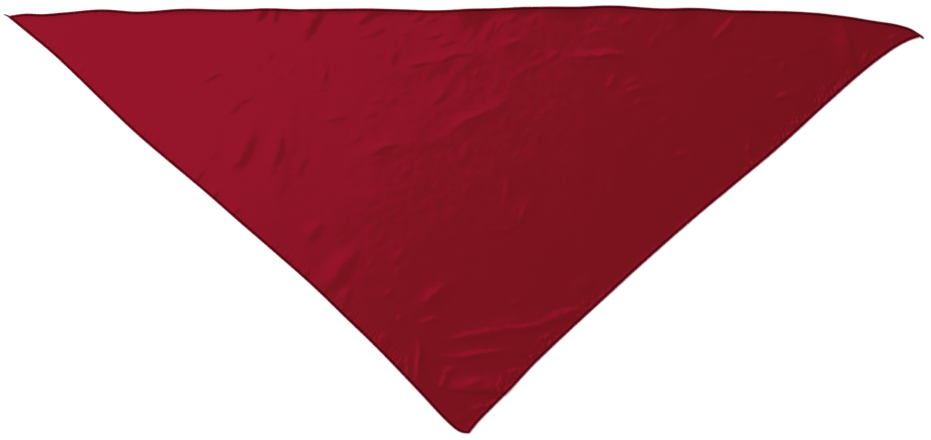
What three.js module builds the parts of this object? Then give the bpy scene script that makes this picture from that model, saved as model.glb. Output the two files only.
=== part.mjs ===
// A triangular neckerchief in dark red satin, spread out flat on a surface.
//
// It is one cut of cloth with a narrow overlocked hem sewn round each of its three edges. The
// seam thread of the left edge runs on past the left tip as a short tail, and that of the long
// edge past the right tip. A few soft folds and the waves of the long edge stand off the surface.
//
// Units are millimetres and +Z is up. +X runs along the long edge from the left tip to the right
// tip, and the point lies towards -Y. The surface that it lies on is Z = 0, and the origin is
// below the middle of the part's box.

import * as THREE from 'three';

// Cut of the cloth, over its hems
const TIE_SPAN = 1000;         // left tip to right tip, in a straight line
const DROP = 446;              // from that line down to the point
const POINT_OFFSET = 13;       // how far the point lies to the right of the middle
const LONG_EDGE_BOW = 24;      // furthest that the long edge stands out from its line
const LEFT_EDGE_BOW = 6;       // furthest that the left edge strays from its line
const RIGHT_EDGE_HOLLOW = 14;  // furthest that the right edge falls inside its line
const CLOTH_THICKNESS = 1;

// Overlocked hem and its thread tails
const HEM_WIDTH = 2.4;
const HEM_HEIGHT = 1.6;
const SEAM_GAP = 0.3;          // clearance between the panel and a hem, and between two hems
const TAIL_LENGTH = 9;
const TAIL_WIDTH = 1.3;
const TAIL_HEIGHT = 1;
const TAIL_BEND = 6;           // degrees

// Folds in the panel, each a low ridge that ends in the flat cloth
const FOLD_REACH = 92;         // from the middle to the end of the longest fold
const FOLD_SPREAD = 30;        // from the crest to the foot of the widest fold
const FOLD_HEIGHT = 3;         // tallest fold

// Waves of the long edge, where it lifts off the surface
const WAVE_SPREAD = 46;        // from the crest to the foot of the widest wave, along the edge
const WAVE_REACH = 42;         // how far a wave runs into the panel
const WAVE_HEIGHT = 4;         // tallest wave

// Fineness of the faceted forms
const EDGE_STEPS = 60;
const TAIL_STEPS = 4;
const SECTION_SIDES = 8;

// How each edge strays from its straight line. at is the share of its length, going left tip,
// point, right tip and back, and out is the share of the edge's bow, outwards.
const LEFT_EDGE_SHAPE = [
  { at: 0, out: 0 },
  { at: 0.09, out: -0.45 },
  { at: 0.2, out: -0.1 },
  { at: 0.28, out: 0.1 },
  { at: 0.35, out: -0.12 },
  { at: 0.42, out: -0.43 },
  { at: 0.5, out: -0.58 },
  { at: 0.58, out: -0.78 },
  { at: 0.66, out: -0.87 },
  { at: 0.72, out: -0.65 },
  { at: 0.8, out: -0.36 },
  { at: 0.85, out: 0 },
  { at: 0.91, out: 0.52 },
  { at: 0.96, out: 0.97 },
  { at: 0.985, out: 0.9 },
  { at: 1, out: 0 },
];
const RIGHT_EDGE_SHAPE = [
  { at: 0, out: 0 },
  { at: 0.02, out: -0.16 },
  { at: 0.06, out: -0.31 },
  { at: 0.11, out: -0.46 },
  { at: 0.15, out: -0.66 },
  { at: 0.2, out: -0.77 },
  { at: 0.3, out: -0.89 },
  { at: 0.4, out: -0.99 },
  { at: 0.52, out: -0.99 },
  { at: 0.6, out: -0.89 },
  { at: 0.7, out: -0.78 },
  { at: 0.8, out: -0.86 },
  { at: 0.89, out: -0.87 },
  { at: 0.93, out: -0.77 },
  { at: 0.97, out: -0.5 },
  { at: 0.985, out: -0.3 },
  { at: 1, out: 0 },
];
const LONG_EDGE_SHAPE = [
  { at: 0, out: 0 },
  { at: 0.02, out: 0.37 },
  { at: 0.05, out: 0.56 },
  { at: 0.09, out: 0.78 },
  { at: 0.125, out: 0.89 },
  { at: 0.21, out: 0.92 },
  { at: 0.245, out: 0.98 },
  { at: 0.27, out: 0.93 },
  { at: 0.35, out: 1 },
  { at: 0.38, out: 0.91 },
  { at: 0.41, out: 0.9 },
  { at: 0.49, out: 0.73 },
  { at: 0.54, out: 0.63 },
  { at: 0.57, out: 0.65 },
  { at: 0.64, out: 0.62 },
  { at: 0.68, out: 0.56 },
  { at: 0.71, out: 0.57 },
  { at: 0.76, out: 0.48 },
  { at: 0.81, out: 0.47 },
  { at: 0.86, out: 0.3 },
  { at: 0.9, out: 0.36 },
  { at: 0.96, out: 0.1 },
  { at: 0.98, out: 0.1 },
  { at: 1, out: 0 },
];

// The folds. along is the share of TIE_SPAN from the left tip and down the share of DROP below
// the tips' line. turn is the ridge's direction in degrees from +X, and bend how far its ends
// swing aside, as a share of its spread. reach, spread and height are shares of the sizes above.
const FOLDS = [
  { along: 0.37, down: 0.61, turn: 48, reach: 0.55, spread: 0.85, height: 1, bend: 0 },
  { along: 0.56, down: 0.73, turn: 11, reach: 1, spread: 0.75, height: 0.8, bend: 0.1 },
  { along: 0.535, down: 0.805, turn: 6, reach: 0.65, spread: 0.6, height: 0.6, bend: 0.15 },
  { along: 0.52, down: 0.885, turn: -8, reach: 0.4, spread: 0.55, height: 0.6, bend: 0 },
  { along: 0.458, down: 0.81, turn: 95, reach: 0.5, spread: 0.6, height: 0.6, bend: 0 },
  { along: 0.47, down: 0.1, turn: 13, reach: 0.8, spread: 0.7, height: 0.75, bend: -0.1 },
  { along: 0.515, down: 0.22, turn: 33, reach: 0.75, spread: 0.75, height: 0.8, bend: -0.1 },
  { along: 0.645, down: 0.075, turn: 4, reach: 0.65, spread: 0.65, height: 0.7, bend: 0 },
  { along: 0.412, down: 0.315, turn: 18, reach: 0.55, spread: 0.7, height: 0.6, bend: 0 },
  { along: 0.305, down: 0.33, turn: 80, reach: 0.75, spread: 0.75, height: 0.65, bend: -0.1 },
  { along: 0.262, down: 0.3, turn: 64, reach: 0.65, spread: 0.6, height: 0.5, bend: 0.2 },
  { along: 0.554, down: 0.465, turn: 28, reach: 0.5, spread: 0.6, height: 0.4, bend: 0.2 },
  { along: 0.475, down: 0.665, turn: 38, reach: 0.5, spread: 0.6, height: 0.5, bend: 0 },
  { along: 0.69, down: 0.15, turn: 22, reach: 0.5, spread: 0.6, height: 0.5, bend: 0.15 },
  { along: 0.917, down: 0.04, turn: -62, reach: 0.38, spread: 0.55, height: 0.45, bend: 0.2 },
];

// The waves of the long edge. at is the share of its length from the right tip.
const WAVES = [
  { at: 0.23, spread: 0.8, height: 0.4 },
  { at: 0.3, spread: 0.7, height: 0.75 },
  { at: 0.41, spread: 0.9, height: 0.7 },
  { at: 0.495, spread: 0.75, height: 1 },
  { at: 0.605, spread: 0.8, height: 0.85 },
  { at: 0.665, spread: 0.6, height: 0.8 },
  { at: 0.72, spread: 0.6, height: 0.65 },
  { at: 0.81, spread: 0.9, height: 0.4 },
  { at: 0.9, spread: 0.9, height: 0.35 },
];

const SATIN = new THREE.MeshStandardMaterial({ color: 0x93122b, roughness: 0.4, metalness: 0 });
const THREAD = new THREE.MeshStandardMaterial({ color: 0x560812, roughness: 0.8, metalness: 0 });

// Smooth curve through one column of a table, read by its at column
function columnCurve(rows, column) {
  const places = rows.map((row) => row.at);
  const values = rows.map((row) => row[column]);
  const curve = new THREE.CubicInterpolant(places, values, 1);
  return (at) => curve.evaluate(at)[0];
}

// Vector a quarter turn clockwise from a plan direction, which is outwards on a loop that runs
// counter-clockwise
function rightOf(direction) {
  return new THREE.Vector2(direction.y, -direction.x);
}

// One edge of the panel in plan, from one corner to the next
class PanelEdge {
  constructor(from, to, bow, shape) {
    this.from = from;
    this.to = to;
    this.bow = bow;
    this.shape = columnCurve(shape, 'out');
    this.outward = rightOf(to.clone().sub(from).normalize());
  }

  strayAt(at) {
    return this.outward.clone().multiplyScalar(this.bow * this.shape(at));
  }

  pointAt(at) {
    return this.from.clone().lerp(this.to, at).add(this.strayAt(at));
  }

  // Direction of the first or last straight stretch of the faceted edge
  get startDirection() {
    return this.pointAt(1 / EDGE_STEPS).sub(this.from).normalize();
  }

  get endDirection() {
    return this.to.clone().sub(this.pointAt(1 - 1 / EDGE_STEPS)).normalize();
  }
}

// Triangle moved in from its sides by one distance
function insetCorners(corners, distance) {
  const [a, b, c] = corners;
  const sides = [b.distanceTo(c), c.distanceTo(a), a.distanceTo(b)];
  const perimeter = sides[0] + sides[1] + sides[2];
  const centre = new THREE.Vector2();
  corners.forEach((corner, index) => centre.addScaledVector(corner, sides[index] / perimeter));
  const doubleArea = Math.abs(b.clone().sub(a).cross(c.clone().sub(a)));
  const inradius = doubleArea / perimeter;
  return corners.map((corner) => centre.clone().lerp(corner, 1 - distance / inradius));
}

const [LEFT_TIP, POINT, RIGHT_TIP] = insetCorners(
  [
    new THREE.Vector2(-TIE_SPAN / 2, 0),
    new THREE.Vector2(POINT_OFFSET, -DROP),
    new THREE.Vector2(TIE_SPAN / 2, 0),
  ],
  HEM_WIDTH + SEAM_GAP,
);

const LEFT_EDGE = new PanelEdge(LEFT_TIP, POINT, LEFT_EDGE_BOW, LEFT_EDGE_SHAPE);
const RIGHT_EDGE = new PanelEdge(POINT, RIGHT_TIP, RIGHT_EDGE_HOLLOW, RIGHT_EDGE_SHAPE);
const LONG_EDGE = new PanelEdge(RIGHT_TIP, LEFT_TIP, LONG_EDGE_BOW, LONG_EDGE_SHAPE);

// Height of a smooth hump at a distance from its middle, given as a share of its size. It is
// exactly nothing from 1 on, so the cloth beside it lies truly flat.
function hump(distanceSquared) {
  return distanceSquared < 1 ? (1 - distanceSquared) ** 3 : 0;
}

function foldLift(fold, place) {
  const middle = new THREE.Vector2(-TIE_SPAN / 2 + fold.along * TIE_SPAN, -fold.down * DROP);
  const turn = THREE.MathUtils.degToRad(fold.turn);
  const local = place.clone().sub(middle).rotateAround(new THREE.Vector2(), -turn);
  const lengthwise = local.x / (fold.reach * FOLD_REACH);
  const crosswise = local.y / (fold.spread * FOLD_SPREAD) - fold.bend * lengthwise ** 2;
  return fold.height * FOLD_HEIGHT * hump(lengthwise ** 2 + crosswise ** 2);
}

function waveLift(wave, place) {
  const local = place.clone().sub(LONG_EDGE.pointAt(wave.at));
  const lengthwise = local.x / (wave.spread * WAVE_SPREAD);
  const inward = local.y / WAVE_REACH;
  return wave.height * WAVE_HEIGHT * hump(lengthwise ** 2 + inward ** 2);
}

// How far the cloth's underside stands above the surface at a plan place
function liftAt(place) {
  const folds = FOLDS.reduce((sum, fold) => sum + foldLift(fold, place), 0);
  const waves = WAVES.reduce((sum, wave) => sum + waveLift(wave, place), 0);
  return folds + waves;
}

// Share of an edge's stray that reaches a place inside the panel: all of it on the edge itself,
// none of it on the other two edges
function edgeShare(atStart, atEnd) {
  const room = 1 - (atStart - atEnd) ** 2;
  return room > 0 ? (4 * atStart * atEnd) / room : 0;
}

// Plan place in the panel from its nearness to each corner, three shares that add up to 1
function panelPlace(toLeft, toPoint, toRight) {
  const place = new THREE.Vector2()
    .addScaledVector(LEFT_TIP, toLeft)
    .addScaledVector(POINT, toPoint)
    .addScaledVector(RIGHT_TIP, toRight);
  const pulls = [
    { edge: LEFT_EDGE, atStart: toLeft, atEnd: toPoint },
    { edge: RIGHT_EDGE, atStart: toPoint, atEnd: toRight },
    { edge: LONG_EDGE, atStart: toRight, atEnd: toLeft },
  ];
  for (const { edge, atStart, atEnd } of pulls) {
    const stray = edge.strayAt((1 - atStart + atEnd) / 2);
    place.addScaledVector(stray, edgeShare(atStart, atEnd));
  }
  return place;
}

function closedGeometry(positions, triangles) {
  const geometry = new THREE.BufferGeometry();
  geometry.setAttribute('position', new THREE.Float32BufferAttribute(positions, 3));
  geometry.setIndex(triangles);
  geometry.computeVertexNormals();
  return geometry;
}

// The panel: a triangular lattice of EDGE_STEPS cells a side, with a top and an underside.
// Lattice place (i, j) is i steps towards the left tip and j towards the right tip.
function panelGeometry() {
  const positions = [];
  const undersides = [];
  for (let i = 0; i <= EDGE_STEPS; i += 1) {
    for (let j = 0; j <= EDGE_STEPS - i; j += 1) {
      const toLeft = i / EDGE_STEPS;
      const toRight = j / EDGE_STEPS;
      const place = panelPlace(toLeft, (EDGE_STEPS - i - j) / EDGE_STEPS, toRight);
      const lift = liftAt(place);
      positions.push(place.x, place.y, lift + CLOTH_THICKNESS);
      undersides.push(place.x, place.y, lift);
    }
  }
  const below = positions.length / 3;
  positions.push(...undersides);

  const at = (i, j) => i * (EDGE_STEPS + 1) - (i * (i - 1)) / 2 + j;
  const triangles = [];
  const addFacet = (a, b, c) => {
    triangles.push(a, b, c);
    triangles.push(a + below, c + below, b + below);
  };
  for (let i = 0; i < EDGE_STEPS; i += 1) {
    for (let j = 0; j < EDGE_STEPS - i; j += 1) {
      addFacet(at(i, j), at(i, j + 1), at(i + 1, j));
      if (i + j + 2 <= EDGE_STEPS) {
        addFacet(at(i + 1, j), at(i, j + 1), at(i + 1, j + 1));
      }
    }
  }
  const rim = [];
  for (let k = 0; k < EDGE_STEPS; k += 1) rim.push(at(EDGE_STEPS - k, 0));
  for (let k = 0; k < EDGE_STEPS; k += 1) rim.push(at(0, k));
  for (let k = 0; k < EDGE_STEPS; k += 1) rim.push(at(k, EDGE_STEPS - k));
  rim.forEach((a, index) => {
    const b = rim[(index + 1) % rim.length];
    triangles.push(a, a + below, b + below);
    triangles.push(a, b + below, b);
  });
  return closedGeometry(positions, triangles);
}

// Where a hem runs along its edge. It has a station at each step of the panel's edge, so that
// the two stay parallel.
function edgeStations(edge) {
  const places = [];
  for (let k = 0; k <= EDGE_STEPS; k += 1) places.push(edge.pointAt(k / EDGE_STEPS));
  return places.map((place, k) => {
    const into = place.clone().sub(places[Math.max(k - 1, 0)]).normalize();
    const onward = places[Math.min(k + 1, EDGE_STEPS)].clone().sub(place).normalize();
    const first = rightOf(k > 0 ? into : onward);
    const second = rightOf(k < EDGE_STEPS ? onward : into);
    const outward = first.clone().add(second).divideScalar(1 + first.dot(second));
    const centre = place.clone().addScaledVector(outward, SEAM_GAP + HEM_WIDTH / 2);
    return { centre, outward, lift: liftAt(place), width: HEM_WIDTH, height: HEM_HEIGHT };
  });
}

// The thread tail ahead of a hem's first station, from its free end to the hem
function tailStations(start, direction) {
  const away = direction.clone().negate();
  const bent = away.clone().rotateAround(new THREE.Vector2(), THREE.MathUtils.degToRad(TAIL_BEND));
  const elbow = start.centre.clone().addScaledVector(away, TAIL_LENGTH / 2);
  const end = elbow.clone().addScaledVector(bent, TAIL_LENGTH / 2);
  const route = new THREE.QuadraticBezierCurve(end, elbow, start.centre);
  const stations = [];
  for (let k = 0; k < TAIL_STEPS; k += 1) {
    const along = k / TAIL_STEPS;
    stations.push({
      centre: route.getPoint(along),
      outward: rightOf(route.getTangent(along)),
      lift: start.lift,
      width: THREE.MathUtils.lerp(TAIL_WIDTH, start.width, along),
      height: THREE.MathUtils.lerp(TAIL_HEIGHT, start.height, along),
    });
  }
  return stations;
}

// Eight-sided ring round a hem, flat underneath, that rests as high as the panel's underside
function ringAt(station) {
  const ring = [];
  const corner = Math.cos(Math.PI / SECTION_SIDES);
  for (let side = 0; side < SECTION_SIDES; side += 1) {
    const angle = ((side + 0.5) * 2 * Math.PI) / SECTION_SIDES;
    const across = ((station.width / 2) * Math.cos(angle)) / corner;
    const up = ((station.height / 2) * Math.sin(angle)) / corner;
    const place = station.centre.clone().addScaledVector(station.outward, across);
    ring.push(new THREE.Vector3(place.x, place.y, station.lift + station.height / 2 + up));
  }
  return ring;
}

// Slides the points of an end ring along the hem until they lie on an upright plane
function cutRing(ring, direction, plane) {
  for (const corner of ring) {
    const gap = plane.through.clone().sub(new THREE.Vector2(corner.x, corner.y));
    const slide = gap.dot(plane.normal) / direction.dot(plane.normal);
    corner.x += direction.x * slide;
    corner.y += direction.y * slide;
  }
}

// A hem along one edge. It starts with a thread tail or at a cut, and ends at a cut.
function hemGeometry(edge, { tail = false, startCut = null, endCut }) {
  const stations = edgeStations(edge);
  if (tail) stations.unshift(...tailStations(stations[0], edge.startDirection));
  const rings = stations.map(ringAt);
  if (startCut) cutRing(rings[0], edge.startDirection, startCut);
  cutRing(rings[rings.length - 1], edge.endDirection, endCut);

  const positions = rings.flatMap((ring) => ring.flatMap((corner) => corner.toArray()));
  const triangles = [];
  for (let k = 0; k + 1 < rings.length; k += 1) {
    for (let side = 0; side < SECTION_SIDES; side += 1) {
      const here = k * SECTION_SIDES + side;
      const next = k * SECTION_SIDES + ((side + 1) % SECTION_SIDES);
      triangles.push(here, here + SECTION_SIDES, next);
      triangles.push(next, here + SECTION_SIDES, next + SECTION_SIDES);
    }
  }
  const last = (rings.length - 1) * SECTION_SIDES;
  for (let side = 1; side + 1 < SECTION_SIDES; side += 1) {
    triangles.push(0, side, side + 1);
    triangles.push(last, last + side + 1, last + side);
  }
  return closedGeometry(positions, triangles);
}

function namedMesh(name, geometry, material) {
  const mesh = new THREE.Mesh(geometry, material.clone());
  mesh.name = name;
  return mesh;
}

// At the point the two hems meet in a mitre. At each tip one hem runs through into its tail,
// and the other stops at the line of that edge.
function buildHems() {
  const mitreNormal = LEFT_EDGE.endDirection.add(RIGHT_EDGE.startDirection).normalize();
  const mitreAt = (side) => ({
    through: POINT.clone().addScaledVector(mitreNormal, (side * SEAM_GAP) / 2),
    normal: mitreNormal,
  });
  const longEdgeLine = { through: RIGHT_TIP, normal: rightOf(LONG_EDGE.startDirection) };
  const leftEdgeLine = { through: LEFT_TIP, normal: rightOf(LEFT_EDGE.startDirection) };
  const leftHem = hemGeometry(LEFT_EDGE, { tail: true, endCut: mitreAt(-1) });
  const rightHem = hemGeometry(RIGHT_EDGE, { startCut: mitreAt(1), endCut: longEdgeLine });
  const longHem = hemGeometry(LONG_EDGE, { tail: true, endCut: leftEdgeLine });
  return [
    namedMesh('left_edge_hem', leftHem, THREAD),
    namedMesh('right_edge_hem', rightHem, THREAD),
    namedMesh('long_edge_hem', longHem, THREAD),
  ];
}

// Stands the finished cloth on Z = 0 with the origin below the middle of its box
function buildNeckerchief() {
  const cloth = new THREE.Group();
  cloth.add(namedMesh('cloth_panel', panelGeometry(), SATIN), ...buildHems());
  const box = new THREE.Box3().setFromObject(cloth);
  const centre = box.getCenter(new THREE.Vector3());
  cloth.position.set(-centre.x, -centre.y, -box.min.z);
  const neckerchief = new THREE.Group();
  neckerchief.add(cloth);
  return neckerchief;
}

export default buildNeckerchief();
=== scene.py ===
"""A triangular neckerchief in dark red satin, spread out flat on a pale surface.

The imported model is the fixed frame: its panel says where the cloth lies, and every length below is
the real one, in metres. The satin is a thin closed sheet with the folds, creases and puckers of the
cloth, and each hem is a rolled edge under its overlock thread.
"""

import logging
import math
from dataclasses import dataclass, field
from enum import Enum

import bpy
import numpy as np
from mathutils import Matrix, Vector, noise


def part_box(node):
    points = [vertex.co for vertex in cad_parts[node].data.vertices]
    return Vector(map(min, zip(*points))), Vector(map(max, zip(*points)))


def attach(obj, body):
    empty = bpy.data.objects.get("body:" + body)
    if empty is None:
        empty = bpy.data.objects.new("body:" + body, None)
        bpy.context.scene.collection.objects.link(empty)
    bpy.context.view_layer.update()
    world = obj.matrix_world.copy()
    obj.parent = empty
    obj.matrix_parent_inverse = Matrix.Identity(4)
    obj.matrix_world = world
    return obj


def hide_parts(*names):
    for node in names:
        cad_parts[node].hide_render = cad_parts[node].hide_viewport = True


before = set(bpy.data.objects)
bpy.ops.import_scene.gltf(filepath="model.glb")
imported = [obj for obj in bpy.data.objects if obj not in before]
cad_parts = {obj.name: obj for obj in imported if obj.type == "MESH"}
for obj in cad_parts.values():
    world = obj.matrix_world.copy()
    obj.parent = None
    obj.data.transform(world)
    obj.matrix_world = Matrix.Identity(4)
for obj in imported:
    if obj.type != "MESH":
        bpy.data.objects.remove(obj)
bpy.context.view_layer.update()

logging.basicConfig(level=logging.INFO, format="%(name)s: %(message)s")
log = logging.getLogger("neckerchief")

MM = 0.001
TUCKS = "tucks"  # name of the panel's attribute that says where its places lie by the nearest hem
NOISE_FADE = 1.0  # how fast the finer levels of the noise get weaker
NOISE_STEP = 2.0  # how many times finer each level is than the one before
NOISE_LEVELS = 3


class Corner(Enum):
    """A corner of the cloth, by its column in the corner weights."""

    LEFT_TIP = 0
    POINT = 1
    RIGHT_TIP = 2


class HemEnd(Enum):
    """How an end of a hem is finished."""

    TAIL = "thread tail"
    BUTT = "stops against the other hem"
    ROUND = "goes round the point to meet the other hem"


class Pattern(Enum):
    """The level in the noise that each uneven pattern of the cloth is read from."""

    SWELL = 0.5
    WAVER_ALONG = 3.5
    CRUMPLE = 5.5
    WAVER_ACROSS = 8.5
    UNEVEN_HEIGHT = 13.5


@dataclass(frozen=True)
class Stray:
    """How far an edge stands out from its straight line at a share of its length."""

    at: float
    out: float


@dataclass(frozen=True)
class Crease:
    """A low ridge in the cloth that thins out towards its ends.

    start and end are in millimetres along from the left tip and below the line of the tips. spread,
    from the crest to the foot, and height are in millimetres, and bow is how many millimetres the
    middle swings to the left of the line from start to end. A lean above 0 makes the flank on the
    right of that line the steeper one, and below 0 the flank on the left.
    """

    start: tuple[float, float]
    end: tuple[float, float]
    spread: float
    height: float
    bow: float = 0.0
    lean: float = 0.0


@dataclass(frozen=True)
class Wave:
    """A place where the long edge lifts off the surface, at a share from the right tip.

    spread, along the edge, reach, into the cloth, and height are in millimetres.
    """

    at: float
    spread: float
    reach: float
    height: float


LEFT_EDGE_SHAPE = (
    Stray(0, 0),
    Stray(0.03, -0.16),
    Stray(0.09, -0.45),
    Stray(0.14, -0.36),
    Stray(0.2, -0.1),
    Stray(0.28, 0.1),
    Stray(0.35, -0.12),
    Stray(0.42, -0.43),
    Stray(0.5, -0.58),
    Stray(0.58, -0.78),
    Stray(0.66, -0.87),
    Stray(0.72, -0.65),
    Stray(0.8, -0.36),
    Stray(0.85, 0),
    Stray(0.91, 0.52),
    Stray(0.95, 0.92),
    Stray(0.97, 1),
    Stray(0.985, 0.9),
    Stray(0.993, 0.6),
    Stray(1, 0),
)
RIGHT_EDGE_SHAPE = (
    Stray(0, 0),
    Stray(0.02, -0.16),
    Stray(0.06, -0.31),
    Stray(0.11, -0.46),
    Stray(0.15, -0.66),
    Stray(0.2, -0.77),
    Stray(0.3, -0.89),
    Stray(0.4, -0.99),
    Stray(0.52, -0.99),
    Stray(0.6, -0.89),
    Stray(0.7, -0.78),
    Stray(0.8, -0.86),
    Stray(0.89, -0.87),
    Stray(0.93, -0.77),
    Stray(0.97, -0.5),
    Stray(0.985, -0.3),
    Stray(1, 0),
)
LONG_EDGE_SHAPE = (
    Stray(0, 0),
    Stray(0.01, 0.24),
    Stray(0.02, 0.37),
    Stray(0.05, 0.56),
    Stray(0.09, 0.78),
    Stray(0.125, 0.89),
    Stray(0.21, 0.92),
    Stray(0.245, 0.98),
    Stray(0.27, 0.93),
    Stray(0.35, 1),
    Stray(0.38, 0.91),
    Stray(0.41, 0.9),
    Stray(0.49, 0.73),
    Stray(0.54, 0.63),
    Stray(0.57, 0.65),
    Stray(0.64, 0.62),
    Stray(0.68, 0.56),
    Stray(0.71, 0.57),
    Stray(0.76, 0.48),
    Stray(0.81, 0.47),
    Stray(0.86, 0.3),
    Stray(0.9, 0.36),
    Stray(0.94, 0.2),
    Stray(0.965, 0.1),
    Stray(0.985, 0.1),
    Stray(1, 0),
)

# The main folds, which the solids have too
FOLDS = (
    Crease((348, 297), (388, 246), 19, 1.5, 0, 0.15),
    Crease((478, 345), (632, 312), 17, 0.6),
    Crease((480, 363), (588, 354), 13, 0.5),
    Crease((480, 397), (580, 400), 14, 2.3, 0, 0.65),
    Crease((461, 403), (455, 335), 14, 0.6),
    Crease((412, 56), (532, 28), 20, 0.45),
    Crease((464, 132), (560, 75), 20, 0.6),
    Crease((590, 37), (700, 30), 16, 0.35),
    Crease((370, 154), (452, 128), 20, 0.5),
    Crease((294, 205), (316, 88), 20, 0.6),
    Crease((240, 180), (284, 88), 20, 0.5),
    Crease((518, 226), (590, 188), 18, 0.4),
    Crease((443, 321), (506, 271), 18, 0.6),
    Crease((652, 82), (728, 52), 18, 0.4),
    Crease((930, 48), (912, -14), 17, 1.9, 2, 0.6),
)

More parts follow.
